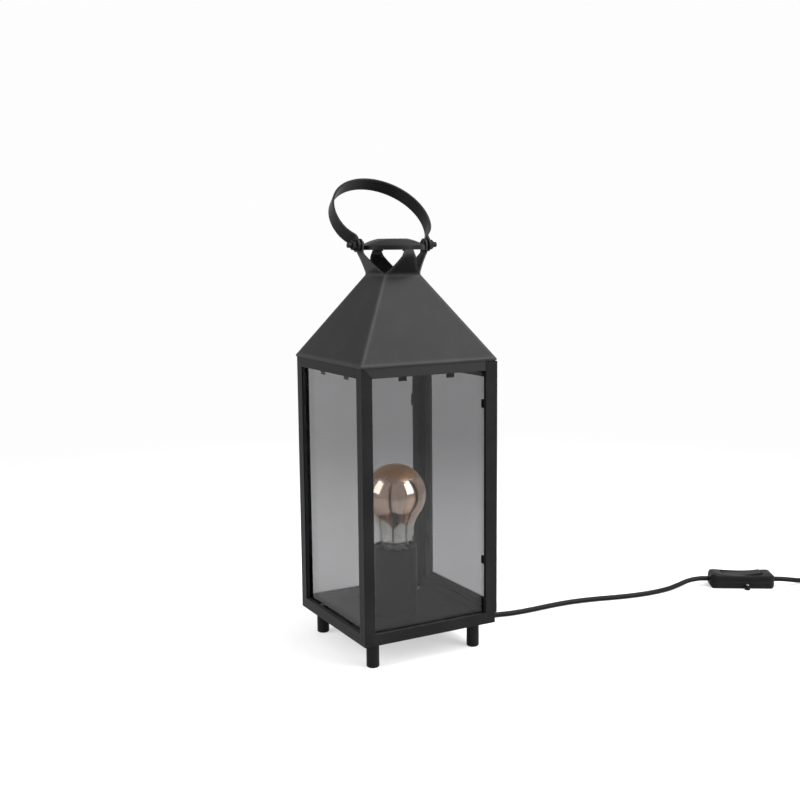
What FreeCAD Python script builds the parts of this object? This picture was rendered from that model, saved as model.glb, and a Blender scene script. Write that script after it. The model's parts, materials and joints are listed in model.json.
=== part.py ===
import FreeCAD, Part
import math
import os
import Sketcher

# Lantern table lamp: a square carcass of folded sheet posts and rails, glazed on three sides,
# with a door on the fourth, a pyramid roof with an open neck, a cap and a carrying handle.
# Origin on the floor under the middle of the carcass, +Z up, -Y the front, +X the door.

doc = FreeCAD.newDocument("Lantern_Lamp")

# Driving dimensions: millimetres and degrees.
dimensions = {
    # carcass
    "body_width": 140,
    "body_height": 255,
    "sheet_thickness": 1.5,
    "post_flange": 10.5,
    "tray_lip_height": 10.7,
    "top_rail_height": 11,
    "rail_joint_gap": 0.3,
    # feet
    "foot_length": 25,
    "foot_diameter": 12,
    "foot_inset": 15.5,
    "foot_chamfer": 0.8,
    "screw_diameter": 3,
    "screw_head_diameter": 5.8,
    "screw_head_height": 1.8,
    "foot_screw_reach": 12,
    # glazing
    "glass_thickness": 3,
    "glass_overlap": 3.3,
    "gasket_thickness": 2.2,
    "gasket_width": 6,
    "clip_width": 8,
    "clip_thickness": 1,
    "clip_spread": 50,
    "base_clip_foot": 7,
    "base_clip_rise": 9,
    "top_clip_reach": 8,
    # roof and neck
    "roof_overhang": 0.8,
    "roof_wall": 1.4,
    "hem_drop": 1.5,
    "roof_height": 77.3,
    "neck_width": 39,
    "tab_thickness": 1.2,
    "tab_slope": 38,
    "tab_lower_bend": 4,
    "tab_upper_bend": 3,
    "tab_edge_radius": 70,
    "tab_taper_height": 19.7,
    "tab_tip_width": 9,
    "neck_height": 23.7,
    "cut_margin": 2,
    "neck_reach": 32.4,
    "cap_seat": 4.4,
    # cap
    "cap_diameter": 61,
    "cap_rim": 4,
    "cap_rise": 6.4,
    "cap_flat": 28,
    "cap_wall": 1.2,
    "cap_dome_radius": 52,
    # handle
    "ear_width": 12,
    "ear_reach": 34.7,
    "pivot_rise": 28.3,
    "handle_rise": 83.4,
    "handle_radius": 49,
    "handle_lean": 44.5,
    "strap_width": 13,
    "strap_thickness": 2,
    "strap_foot_straight": 4.8,
    "strap_bend": 5,
    "strap_merge_angle": 15,
    "handle_play": 0.2,
    "bolt_diameter": 5,
    "bolt_head_diameter": 7.6,
    "bolt_head_height": 2,
    "bolt_end": 4,
    "washer_diameter": 9,
    "washer_thickness": 2,
    "nut_width": 8,
    "nut_height": 4,
    # door
    "door_thickness": 2,
    "door_play": 0.3,
    "door_side_clearance": 0.4,
    "door_stile": 18.1,
    "door_bottom_member": 9,
    "door_top_member": 16.5,
    "door_lip_overlap": 1,
    "door_roof_gap": 1,
    "door_glass_overlap": 4.6,
    "door_gasket_thickness": 1,
    "door_clip_reach": 3.5,
    "hinge_length": 24,
    "hinge_knuckle_diameter": 4.8,
    "hinge_pin_diameter": 2.4,
    "hinge_leaf_thickness": 0.8,
    "hinge_leaf_width": 14,
    "hinge_low": 80,
    "hinge_high": 232,
    "hinge_pin_short": 2,
    "magnet_diameter": 7,
    "magnet_length": 5,
    "magnet_inset": 25,
    "magnet_rise": 1,
    # lampholder
    "tube_diameter": 42,
    "tube_height": 68.5,
    "tube_wall": 1.2,
    "nipple_diameter": 10,
    "nipple_bore": 7,
    "nipple_nut_width": 14,
    "nipple_nut_height": 3.3,
    "nipple_low_end": 2.5,
    "nipple_high_end": 4,
    "holder_diameter": 38.5,
    "holder_wall": 2.2,
    "holder_base_height": 16,
    "holder_shell_height": 45,
    "holder_floor": 4,
    "holder_floor_rise": 11,
    "holder_chamfer": 3,
    "contact_rise": 8.3,
    "contact_strip": 0.8,
    "contact_width": 6,
    "sleeve_drop": 6,
    "sleeve_diameter": 28.4,
    "sleeve_wall": 0.6,
    # bulb
    "bulb_diameter": 60,
    "bulb_length": 105,
    "bulb_wall": 0.8,
    "bulb_neck_diameter": 32.4,
    "bulb_cap_diameter": 26.4,
    "bulb_cap_height": 27,
    "bulb_neck_rise": 3.5,
    "bulb_insulator": 2.2,
    "bulb_tip_height": 1.6,
    "bulb_contact_diameter": 9,
    "filament_diameter": 1.7,
    "filament_length": 34,
    "filament_drop": 14,
    "filament_lean": 9,
    "filament_spread": 4.5,
    "filament_turn": 20,
    "stem_drop": 16,
    "filament_count": 4,
    # cord and what is on it
    "cord_diameter": 5.4,
    "cover_diameter": 46,
    "cover_depth": 16.5,
    "cover_wall": 2,
    "cover_edge_radius": 1.5,
    "boss_wall": 1.6,
    "boss_sink": 1,
    "relief_height": 14.6,
    "relief_length": 22,
    "relief_diameter": 9.2,
    "relief_tip_diameter": 6.8,
    "relief_flange": 1.8,
    "relief_inside": 1,
    "relief_chamfer": 0.6,
    "switch_length": 72,
    "switch_width": 25,
    "switch_height": 17,
    "switch_parting": 8,
    "switch_corner": 9,
    "switch_end_radius": 7,
    "switch_edge_radius": 5,
    "switch_base_radius": 3,
    "switch_saddle_radius": 184,
    "switch_lug_offset": 4.2,
    "switch_lug_radius": 3,
    "switch_lug_height": 5.2,
    "switch_screw_radius": 1.2,
    "switch_wall": 1.8,
    "rocker_length": 45,
    "rocker_width": 15.4,
    "rocker_tilt": 3.5,
    "rocker_gap": 0.8,
    "rocker_slot_corner": 0.9,
    "rocker_pin_rise": 1.5,
    "switch_pit_depth": 3,
    "plug_length": 34,
    "plug_width": 26,
    "plug_height": 13.7,
    "plug_relief_length": 25,
    "plug_relief_flare": 1.8,
    "plug_waist_inset": 4,
    "plug_waist_length": 12,
    "plug_pin_diameter": 4,
    "plug_pin_length": 19,
    "plug_pin_spacing": 19,
    "coil_radius": 40,
    "coil_pitch": 5.9,
    # fits
    "fit_gap": 0.1,
    "thread_gap": 0.05,
}

sheet = doc.addObject("Spreadsheet::Sheet", "Sizes")
for row, (alias, number) in enumerate(dimensions.items(), 1):
    sheet.set("A%d" % row, alias)
    sheet.set("B%d" % row, str(number))
    sheet.setAlias("B%d" % row, alias)
doc.recompute()


class Size:
    # A length or an angle that knows its number and the expression that gives it.
    def __init__(self, value, text):
        self.value = float(value)
        self.text = text

    def __add__(self, other):
        return merge(self, "+", other)

    def __radd__(self, other):
        return merge(other, "+", self)

    def __sub__(self, other):
        return merge(self, "-", other)

    def __rsub__(self, other):
        return merge(other, "-", self)

    def __mul__(self, other):
        return merge(self, "*", other)

    def __rmul__(self, other):
        return merge(other, "*", self)

    def __truediv__(self, other):
        return merge(self, "/", other)

    def __neg__(self):
        return merge(0, "-", self)


def as_size(value):
    return value if isinstance(value, Size) else Size(value, repr(value))


def merge(left, sign, right):
    left = as_size(left)
    right = as_size(right)
    a, b = left.value, right.value
    value = {"+": a + b, "-": a - b, "*": a * b}.get(sign)
    if sign == "/":
        value = a / b
    return Size(value, "(%s %s %s)" % (left.text, sign, right.text))


def sine(angle):
    return Size(math.sin(math.radians(angle.value)), "sin(%s * 1deg)" % angle.text)


def cosine(angle):
    return Size(math.cos(math.radians(angle.value)), "cos(%s * 1deg)" % angle.text)


class Sizes:
    pass


size = Sizes()
for alias in dimensions:
    setattr(size, alias, Size(sheet.get(alias), "Sizes." + alias))

nodes = {}
upright = FreeCAD.Vector(0, 0, 1)


# ---- shared makers ----

def bind(thing, name, value):
    value = as_size(value)
    thing.setExpression(name, value.text)


def place(thing, base=(0, 0, 0), axis=(0, 0, 1), angle=0):
    spot = FreeCAD.Vector(*[as_size(value).value for value in base])
    turn = FreeCAD.Rotation(FreeCAD.Vector(*axis), as_size(angle).value)
    thing.Placement = FreeCAD.Placement(spot, turn)
    for letter, value in zip("xyz", base):
        if isinstance(value, Size):
            bind(thing, "Placement.Base." + letter, value)
    if isinstance(angle, Size):
        bind(thing, "Placement.Rotation.Angle", angle)
    return thing


def block(name, across, along, up):
    box = doc.addObject("Part::Box", name)
    for side, (low, high) in zip(("Length", "Width", "Height"), (across, along, up)):
        bind(box, side, as_size(high) - low)
    return place(box, (across[0], along[0], up[0]))


def rod(name, radius, start, length, direction="z"):
    turns = {"z": ((0, 0, 1), 0), "x": ((0, 1, 0), 90), "y": ((1, 0, 0), -90)}
    cylinder = doc.addObject("Part::Cylinder", name)
    bind(cylinder, "Radius", radius)
    bind(cylinder, "Height", length)
    return place(cylinder, start, *turns[direction])


def cone(name, low_radius, high_radius, start, length):
    taper = doc.addObject("Part::Cone", name)
    bind(taper, "Radius1", low_radius)
    bind(taper, "Radius2", high_radius)
    bind(taper, "Height", length)
    return place(taper, start)


def hexagon(name, width, start, length, direction="z"):
    turns = {"z": ((0, 0, 1), 0), "x": ((0, 1, 0), 90)}
    prism = doc.addObject("Part::Prism", name)
    prism.Polygon = 6
    bind(prism, "Circumradius", as_size(width) / math.sqrt(3))
    bind(prism, "Height", length)
    return place(prism, start, *turns[direction])


def frustum(name, low, high, low_half, high_half):
    wedge = doc.addObject("Part::Wedge", name)
    ends = {"Ymin": low, "Ymax": high}
    for letter in "XZ":
        ends[letter + "min"] = -as_size(low_half)
        ends[letter + "max"] = low_half
        ends[letter + "2min"] = -as_size(high_half)
        ends[letter + "2max"] = high_half
    for corner, value in ends.items():
        bind(wedge, corner, value)
    return place(wedge, axis=(1, 0, 0), angle=90)


def join(name, parts):
    fusion = doc.addObject("Part::MultiFuse", name)
    fusion.Shapes = parts
    return fusion


def cut(name, base, tools):
    difference = doc.addObject("Part::Cut", name)
    difference.Base = base
    difference.Tool = tools[0] if len(tools) == 1 else join(name + "_tools", tools)
    return difference


def common(name, first, second):
    shared = doc.addObject("Part::Common", name)
    shared.Base = first
    shared.Tool = second
    return shared


def group(name, parts):
    bundle = doc.addObject("Part::Compound", name)
    bundle.Links = parts
    return bundle


def new_body(name):
    body = doc.addObject("PartDesign::Body", name)
    body.Label = name
    return body


def sketch_on(body, plane, loops, offset=0):
    # Each loop is a list of corners (u, v) or (u, v, radius): a radius bends the edge that
    # leaves the corner, with its centre on the left of the way round when positive.
    sketch = body.newObject("Sketcher::SketchObject", body.Name + "_sketch")
    support = [face for face in body.Origin.OriginFeatures if face.Role == plane + "_Plane"]
    sketch.AttachmentSupport = [(support[0], "")]
    sketch.MapMode = "FlatFace"
    if isinstance(offset, Size):
        bind(sketch, "AttachmentOffset.Base.z", offset)
    for loop in loops:
        if isinstance(loop[0], tuple):
            draw_loop(sketch, loop)
        else:
            draw_circle(sketch, *loop)
    return sketch


def fix(sketch, kind, edge, end, value):
    value = as_size(value)
    if kind == "Radius":
        rule = Sketcher.Constraint(kind, edge, value.value)
    else:
        rule = Sketcher.Constraint(kind, -1, 1, edge, end, value.value)
    index = sketch.addConstraint(rule)
    sketch.setExpression("Constraints[%d]" % index, value.text)


def draw_circle(sketch, u, v, radius):
    centre = FreeCAD.Vector(as_size(u).value, as_size(v).value, 0)
    edge = sketch.addGeometry(Part.Circle(centre, upright, as_size(radius).value), False)
    fix(sketch, "DistanceX", edge, 3, u)
    fix(sketch, "DistanceY", edge, 3, v)
    fix(sketch, "Radius", edge, 0, radius)


def draw_arc(start, end, radius):
    chord = end - start
    left = FreeCAD.Vector(-chord.y, chord.x, 0).normalize()
    rise = math.sqrt(radius * radius - chord.Length ** 2 / 4)
    centre = (start + end) / 2 + left * math.copysign(rise, radius)
    first, last = (start, end) if radius > 0 else (end, start)
    angles = [math.atan2(point.y - centre.y, point.x - centre.x) for point in (first, last)]
    circle = Part.Circle(centre, upright, abs(radius))
    return Part.ArcOfCircle(circle, *angles)


def draw_loop(sketch, corners):
    spots = [FreeCAD.Vector(as_size(c[0]).value, as_size(c[1]).value, 0) for c in corners]
    edges = []
    for index, corner in enumerate(corners):
        start = spots[index]
        end = spots[(index + 1) % len(spots)]
        if len(corner) == 3:
            radius = as_size(corner[2]).value
            edge = sketch.addGeometry(draw_arc(start, end, radius), False)
            edges.append((edge, 1, 2) if radius > 0 else (edge, 2, 1))
        else:
            edge = sketch.addGeometry(Part.LineSegment(start, end), False)
            edges.append((edge, 1, 2))
    for index, corner in enumerate(corners):
        edge, start_end, far_end = edges[index]
        following, next_start, next_far = edges[(index + 1) % len(edges)]
        sketch.addConstraint(Sketcher.Constraint("Coincident", edge, far_end, following, next_start))
        fix(sketch, "DistanceX", edge, start_end, corner[0])
        fix(sketch, "DistanceY", edge, start_end, corner[1])
        if len(corner) == 3:
            radius = as_size(corner[2])
            fix(sketch, "Radius", edge, 0, radius if radius.value > 0 else -radius)


def pad(body, sketch, length, both_ways=False):
    feature = body.newObject("PartDesign::Pad", body.Name + "_pad")
    feature.Profile = sketch
    feature.Midplane = both_ways
    bind(feature, "Length", length)
    return feature


def pocket_through(body, sketch):
    feature = body.newObject("PartDesign::Pocket", body.Name + "_pocket")
    feature.Profile = sketch
    feature.Type = "ThroughAll"
    feature.Midplane = True
    return feature


def spin(body, sketch):
    feature = body.newObject("PartDesign::Revolution", body.Name + "_revolution")
    feature.Profile = sketch
    feature.ReferenceAxis = (sketch, ["V_Axis"])
    feature.Angle = 360
    return feature


def turned(name, profile, plane="XZ"):
    body = new_body(name)
    spin(body, sketch_on(body, plane, [profile]))
    return body


def rectangle(low_u, high_u, low_v, high_v):
    return [(low_u, low_v), (high_u, low_v), (high_u, high_v), (low_u, high_v)]


def keep(name, thing):
    thing.Label = name
    nodes[name] = thing
    return thing


# ---- levels and faces that the pieces share ----

half = size.body_width / 2
wall = size.sheet_thickness
bottom = size.foot_length
eave = bottom + size.body_height
tray_top = bottom + wall
lip_top = bottom + size.tray_lip_height
rail_bottom = eave - size.top_rail_height
opening = half - size.post_flange
inner = half - wall
glass_front = inner - size.gasket_thickness
glass_back = glass_front - size.glass_thickness
glass_half = opening + size.glass_overlap
glass_top = rail_bottom + size.glass_overlap
roof_top = eave + size.roof_height
neck_top = roof_top + size.neck_height
pivot = roof_top + size.pivot_rise
sides = {"front": 0, "right": 90, "back": 180, "left": 270}


# ---- carcass ----

def corner_post(name, turn):
    body = new_body(name)
    corner = [(-half, -half), (-opening, -half), (-opening, -inner), (-inner, -inner),
              (-inner, -opening), (-half, -opening)]
    sketch = sketch_on(body, "XY", [corner], offset=bottom)
    pad(body, sketch, size.body_height)
    # the top rail lies over this flange along a mitre
    mitre_rise = (size.post_flange - wall) * size.top_rail_height / size.post_flange
    above = [(-inner, rail_bottom + mitre_rise), (-opening, rail_bottom), (-opening, eave + wall),
             (-inner, eave + wall)]
    pocket_through(body, sketch_on(body, "XZ", [above]))
    return keep(name, place(body, angle=turn))


def top_rail(name, turn):
    body = new_body(name)
    mitre_rise = (size.post_flange - wall) * size.top_rail_height / size.post_flange
    gap = size.rail_joint_gap
    face = [(-inner, rail_bottom + mitre_rise + gap), (-opening + gap, rail_bottom),
            (opening - gap, rail_bottom), (opening - gap, eave), (-inner, eave)]
    pad(body, sketch_on(body, "XZ", [face], offset=inner), wall)
    if name == "top_rail_right":
        hole = (magnet_place, magnet_level, size.magnet_diameter / 2 + size.thread_gap)
        pocket_through(body, sketch_on(body, "XZ", [hole]))
    return keep(name, place(body, angle=turn))


def base_tray():
    body = new_body("base_tray")
    floor = [(-opening, -half), (opening, -half), (opening, -inner), (inner, -inner),
             (inner, -opening), (half, -opening), (half, opening), (inner, opening),
             (inner, inner), (opening, inner), (opening, half), (-opening, half),
             (-opening, inner), (-inner, inner), (-inner, opening), (-half, opening),
             (-half, -opening), (-inner, -opening), (-inner, -inner), (-opening, -inner)]
    pad(body, sketch_on(body, "XY", [floor], offset=bottom), wall)
    lips = [rectangle(-opening, opening, -half, -inner), rectangle(-opening, opening, inner, half),
            rectangle(-half, -inner, -opening, opening), rectangle(inner, half, -opening, opening)]
    pad(body, sketch_on(body, "XY", lips, offset=bottom), size.tray_lip_height)
    screw_hole = size.screw_diameter / 2 + size.fit_gap
    holes = [(0, 0, size.nipple_diameter / 2 + size.fit_gap)]
    holes += [(x, y, screw_hole) for x, y in foot_places]
    holes += [(x, y, screw_hole) for x, y in cover_screw_places]
    pocket_through(body, sketch_on(body, "XY", holes))
    return keep("base_tray", body)


# ---- feet ----

foot_centre = half - size.foot_inset
foot_names = ("front_left_foot", "front_right_foot", "back_right_foot", "back_left_foot")
foot_places = [(-foot_centre, -foot_centre), (foot_centre, -foot_centre),
               (foot_centre, foot_centre), (-foot_centre, foot_centre)]


def screw(name, x, y, head_face, reach, up):
    # a pan head seated on head_face with its shank running down, or up when up is set
    shank_start = head_face if up else head_face - reach
    head_start = head_face - size.screw_head_height if up else head_face
    shank = rod(name + "_shank", size.screw_diameter / 2, (x, y, shank_start), reach)
    head = rod(name + "_head", size.screw_head_diameter / 2, (x, y, head_start),
               size.screw_head_height)
    return join(name, [head, shank])


def feet():
    radius = size.foot_diameter / 2
    pilot = size.screw_diameter / 2 + size.thread_gap
    depth = bottom - size.foot_screw_reach - 1
    for name, (x, y) in zip(foot_names, foot_places):
        profile = [(0, 0), (radius - size.foot_chamfer, 0), (radius, size.foot_chamfer),
                   (radius, bottom), (pilot, bottom), (pilot, depth), (0, depth)]
        keep(name, place(turned(name, profile), (x, y, 0)))
    reach = size.foot_screw_reach + wall
    screws = [screw("foot_screw_%d" % number, x, y, tray_top, reach, False)
              for number, (x, y) in enumerate(foot_places)]
    keep("foot_screws", group("foot_screws", screws))


# ---- glazing ----

def pane(name, turn):
    body = new_body(name)
    face = rectangle(-glass_half, glass_half, tray_top, glass_top)
    pad(body, sketch_on(body, "XZ", [face], offset=glass_back), size.glass_thickness)
    return keep(name, place(body, angle=turn))


def gasket(name, turn):
    body = new_body(name)
    reach = opening + size.gasket_width
    outer = rectangle(-reach, reach, lip_top - size.gasket_width, rail_bottom + size.gasket_width)
    sight = rectangle(-opening, opening, lip_top, rail_bottom)
    pad(body, sketch_on(body, "XZ", [outer, sight], offset=glass_front), size.gasket_thickness)
    return keep(name, place(body, angle=turn))


def clip(name, profile, shift, turn):
    # a strip folded to the profile in the YZ plane, one clip width long
    body = new_body(name)
    pad(body, sketch_on(body, "YZ", [profile], offset=shift - size.clip_width / 2),
        size.clip_width)
    return place(body, angle=turn)


def glass_clips():
    thick = size.clip_thickness
    back = -glass_back
    foot_end = back + size.base_clip_foot
    base_clip_top = tray_top + size.base_clip_rise
    base_clip = [(back, tray_top), (foot_end, tray_top), (foot_end, tray_top + thick),
                 (back + thick, tray_top + thick), (back + thick, base_clip_top),
                 (back, base_clip_top)]
    seat = rail_bottom + size.gasket_width + size.fit_gap
    hook = glass_top - size.top_clip_reach
    top_clip = [(-inner, seat), (back, seat), (back, hook), (back + thick, hook),
                (back + thick, seat + thick),
                (-inner + thick, seat + thick), (-inner + thick, eave - thick),
                (-inner, eave - thick)]
    clips = []
    for side in ("front", "back", "left"):
        for shift in (-size.clip_spread / 2, size.clip_spread / 2):
            for kind, profile in (("base", base_clip), ("top", top_clip)):
                name = "%s_%s_clip_%d" % (side, kind, len(clips))
                clips.append(clip(name, profile, shift, sides[side]))
    keep("glass_clips", group("glass_clips", clips))


# ---- roof, neck and cap ----

def neck_tab(name, turn, reach, half_tip, top, ear):
    # A strip of the roof sheet that bends outward from the chimney edge and up again.
    body = new_body(name)
    thick = size.tab_thickness
    start = size.neck_width / 2
    sin_slope = sine(size.tab_slope)
    cos_slope = cosine(size.tab_slope)
    bends = size.tab_lower_bend + size.tab_upper_bend + thick
    straight = (reach - start - bends * (1 - cos_slope)) / sin_slope
    first_u = start + size.tab_lower_bend * (1 - cos_slope)
    first_v = roof_top + size.tab_lower_bend * sin_slope
    second_u = first_u + straight * sin_slope
    second_v = first_v + straight * cos_slope
    upright_v = second_v + (size.tab_upper_bend + thick) * sin_slope
    side_u = thick * cos_slope
    side_v = thick * sin_slope
    strip = [(start, roof_top, -size.tab_lower_bend), (first_u, first_v),
             (second_u, second_v, size.tab_upper_bend + thick), (reach, upright_v), (reach, top)]
    if not ear:
        strip += [(reach - size.cap_seat, top), (reach - size.cap_seat, top - thick),
                  (reach - thick, top - thick)]
    else:
        strip += [(reach - thick, top)]
    strip += [(reach - thick, upright_v, -size.tab_upper_bend), (second_u - side_u, second_v + side_v),
              (first_u - side_u, first_v + side_v, size.tab_lower_bend + thick), (start - thick, roof_top)]
    pad(body, sketch_on(body, "XZ", [strip]), size.neck_width, both_ways=True)
    taper_top = roof_top + size.tab_taper_height if ear else top
    clear = start + size.cut_margin
    over = top + size.cut_margin
    bend = size.tab_edge_radius
    if ear:
        waste = [[(start, roof_top, -bend), (half_tip, taper_top), (half_tip, pivot, half_tip),
                  (0, pivot + half_tip, half_tip), (-half_tip, pivot), (-half_tip, taper_top, -bend),
                  (-start, roof_top), (-clear, roof_top), (-clear, over), (clear, over),
                  (clear, roof_top)],
                 (0, pivot, size.bolt_diameter / 2 + size.thread_gap)]
    else:
        waste = []
        for hand in (1, -1):
            waste.append([(hand * start, roof_top, -bend * hand), (hand * half_tip, taper_top),
                          (hand * half_tip, over), (hand * clear, over),
                          (hand * clear, roof_top)])
    pocket_through(body, sketch_on(body, "YZ", waste))
    return place(body, angle=turn)


def roof():
    edge = half + size.roof_overhang
    top_half = size.neck_width / 2
    outer = frustum("roof_outer", eave, roof_top, edge, top_half)
    hollow = frustum("roof_hollow", eave, roof_top, edge - size.roof_wall,
                     top_half - size.roof_wall)
    sheet_shell = cut("roof_sheet", outer, [hollow])
    low = eave - size.hem_drop
    hem_outer = block("hem_outer", (-edge, edge), (-edge, edge), (low, eave))
    hem_hollow = block("hem_hollow", (-half, half), (-half, half), (low, eave))
    hem = cut("roof_hem", hem_outer, [hem_hollow])
    ear_top = pivot + size.ear_width / 2
    tabs = [neck_tab("tab_right", 0, size.ear_reach, size.ear_width / 2, ear_top, True),
            neck_tab("tab_back", 90, size.neck_reach, size.tab_tip_width / 2, neck_top, False),
            neck_tab("tab_left", 180, size.ear_reach, size.ear_width / 2, ear_top, True),
            neck_tab("tab_front", 270, size.neck_reach, size.tab_tip_width / 2, neck_top, False)]
    keep("roof", join("roof", [sheet_shell, hem] + tabs))


def cap():
    radius = size.cap_diameter / 2
    flat = size.cap_flat / 2
    thick = size.cap_wall
    rim_top = neck_top + size.cap_rim
    crown = rim_top + size.cap_rise
    dome = size.cap_dome_radius
    profile = [(radius - thick, neck_top), (radius, neck_top), (radius, rim_top, dome),
               (flat, crown), (0, crown), (0, crown - thick),
               (flat, crown - thick, -(dome - thick)), (radius - thick, rim_top)]
    keep("cap", turned("cap", profile))


# ---- handle ----

def handle():
    body = new_body("handle_strap")
    thick = size.strap_thickness
    foot = size.strap_width / 2
    tab = size.ear_reach + size.washer_thickness + size.handle_play + thick / 2
    bend = size.strap_bend
    radius = size.handle_radius
    middle = size.handle_rise - radius
    sin_join = sine(size.strap_merge_angle)
    cos_join = cosine(size.strap_merge_angle)
    # flare out of the foot (bend), then back in (sweep), tangent to the big loop
    bend_u = tab + bend
    bend_v = size.strap_foot_straight
    away_u = radius * cos_join - bend_u
    away_v = middle - radius * sin_join - bend_v
    span = away_u * away_u + away_v * away_v
    sweep = (span - bend * bend) / ((away_u * cos_join - away_v * sin_join + bend) * 2)
    sweep_u = (radius - sweep) * cos_join
    sweep_v = middle - (radius - sweep) * sin_join
    reach = bend + sweep

    def offset(shift):
        # one face of the strap, foot to crown, shift outward of its middle line
        near = (bend - shift) / reach
        flare = (bend_u + (sweep_u - bend_u) * near, bend_v + (sweep_v - bend_v) * near,
                 sweep + shift)
        merge_point = ((radius + shift) * cos_join, middle - (radius + shift) * sin_join,
                       radius + shift)
        side = [(tab + shift, -foot), (tab + shift, bend_v, -(bend - shift)), flare, merge_point]
        return side, (0, size.handle_rise + shift)

    def mirrored(side):
        # the same face on the other hand, crown to foot
        flipped = []
        turns = [corner[2] if len(corner) == 3 else None for corner in side]
        for index in range(len(side) - 1, -1, -1):
            u, v = side[index][:2]
            bend_here = turns[index - 1] if index else None
            flipped.append((-u, v) if bend_here is None else (-u, v, bend_here))
        return flipped

    out_side, out_crown = offset(thick / 2)
    in_side, in_crown = offset(-thick / 2)
    outer = out_side + [(out_crown[0], out_crown[1], radius + thick / 2)] + mirrored(out_side)
    inward = in_side + [(in_crown[0], in_crown[1], radius - thick / 2)] + mirrored(in_side)
    back = []
    for index in range(len(inward) - 1, -1, -1):
        u, v = inward[index][:2]
        before = inward[index - 1] if index else (0, 0)
        back.append((u, v) if len(before) == 2 else (u, v, -before[2]))
    pad(body, sketch_on(body, "XZ", [outer + back]), size.strap_width, both_ways=True)
    far = foot + 1
    waste = [(-foot, 0, foot), (0, -foot, foot), (foot, 0), (far, 0), (far, -far), (-far, -far),
             (-far, 0)]
    hole = (0, 0, size.bolt_diameter / 2 + size.fit_gap)
    pocket_through(body, sketch_on(body, "YZ", [waste, hole]))
    keep("handle_strap", place(body, (0, 0, pivot), (1, 0, 0), -size.handle_lean))


def handle_fasteners():
    ear_inside = size.ear_reach - size.tab_thickness
    washer_end = size.ear_reach + size.washer_thickness
    nut_face = washer_end + size.handle_play * 2 + size.strap_thickness
    end = nut_face + size.nut_height + size.bolt_end
    bolts = []
    nuts = []
    washers = []
    for side, turn in (("right", 0), ("left", 180)):
        head = rod(side + "_bolt_head", size.bolt_head_diameter / 2,
                   (ear_inside - size.bolt_head_height, 0, pivot), size.bolt_head_height, "x")
        shank = rod(side + "_bolt_shank", size.bolt_diameter / 2, (ear_inside, 0, pivot),
                    end - ear_inside, "x")
        bolt = join(side + "_bolt", [head, shank])
        bolts.append(place(bolt, angle=turn))
        blank = hexagon(side + "_nut_blank", size.nut_width, (nut_face, 0, pivot),
                        size.nut_height, "x")
        bore = rod(side + "_nut_bore", size.bolt_diameter / 2 + size.thread_gap,
                   (nut_face, 0, pivot), size.nut_height, "x")
        nuts.append(place(cut(side + "_nut", blank, [bore]), angle=turn))
        disc = rod(side + "_washer_disc", size.washer_diameter / 2, (size.ear_reach, 0, pivot),
                   size.washer_thickness, "x")
        hole = rod(side + "_washer_hole", size.bolt_diameter / 2 + size.thread_gap,
                   (size.ear_reach, 0, pivot), size.washer_thickness, "x")
        washers.append(place(cut(side + "_washer", disc, [hole]), angle=turn))
    keep("handle_bolts", group("handle_bolts", bolts))
    keep("handle_nuts", group("handle_nuts", nuts))
    keep("handle_washers", group("handle_washers", washers))


# ---- door on the right side, in the frame of the front side and turned by 90 ----

door_back = half + size.door_play
door_front = door_back + size.door_thickness
door_half = half - size.door_side_clearance
door_low = lip_top - size.door_lip_overlap
door_high = eave - size.hem_drop - size.door_roof_gap
sight_half = door_half - size.door_stile
sight_low = door_low + size.door_bottom_member
sight_high = door_high - size.door_top_member
door_glass_front = door_back - size.door_gasket_thickness
door_glass_back = door_glass_front - size.glass_thickness
door_glass_half = sight_half + size.door_glass_overlap
door_glass_low = sight_low - size.door_glass_overlap
door_glass_high = sight_high + size.door_glass_overlap
knuckle = size.hinge_knuckle_diameter / 2
hinge_u = half + knuckle
hinge_out = door_front
magnet_place = -half + size.magnet_inset
magnet_level = rail_bottom + size.magnet_diameter / 2 + size.magnet_rise


def door():
    right = sides["right"]
    sight = rectangle(-sight_half, sight_half, sight_low, sight_high)
    frame = new_body("door_frame")
    leaf = rectangle(-door_half, door_half, door_low, door_high)
    pad(frame, sketch_on(frame, "XZ", [leaf, sight], offset=door_back), size.door_thickness)
    keep("door_frame", place(frame, angle=right))
    edge = rectangle(-door_glass_half, door_glass_half, door_glass_low, door_glass_high)
    seal = new_body("door_gasket")
    pad(seal, sketch_on(seal, "XZ", [edge, sight], offset=door_glass_front),
        size.door_gasket_thickness)
    keep("door_gasket", place(seal, angle=right))
    glass = new_body("door_glass")
    pad(glass, sketch_on(glass, "XZ", [edge], offset=door_glass_back), size.glass_thickness)
    keep("door_glass", place(glass, angle=right))
    clips = []
    thick = size.clip_thickness
    for hand in (-1, 1):
        near = hand * (door_glass_half + size.fit_gap)
        far = hand * (door_glass_half + size.fit_gap + thick)
        over = hand * (door_glass_half - size.door_clip_reach)
        back = -door_glass_back
        profile = [(near, -door_back), (far, -door_back), (far, back + thick),
                   (over, back + thick), (over, back), (near, back)]
        for number, level in enumerate((size.hinge_low, size.hinge_high)):
            name = "door_clip_%d_%d" % (hand + 1, number)
            body = new_body(name)
            pad(body, sketch_on(body, "XY", [profile], offset=level), size.clip_width)
            clips.append(place(body, angle=right))
    keep("door_glass_clips", group("door_glass_clips", clips))


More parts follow.
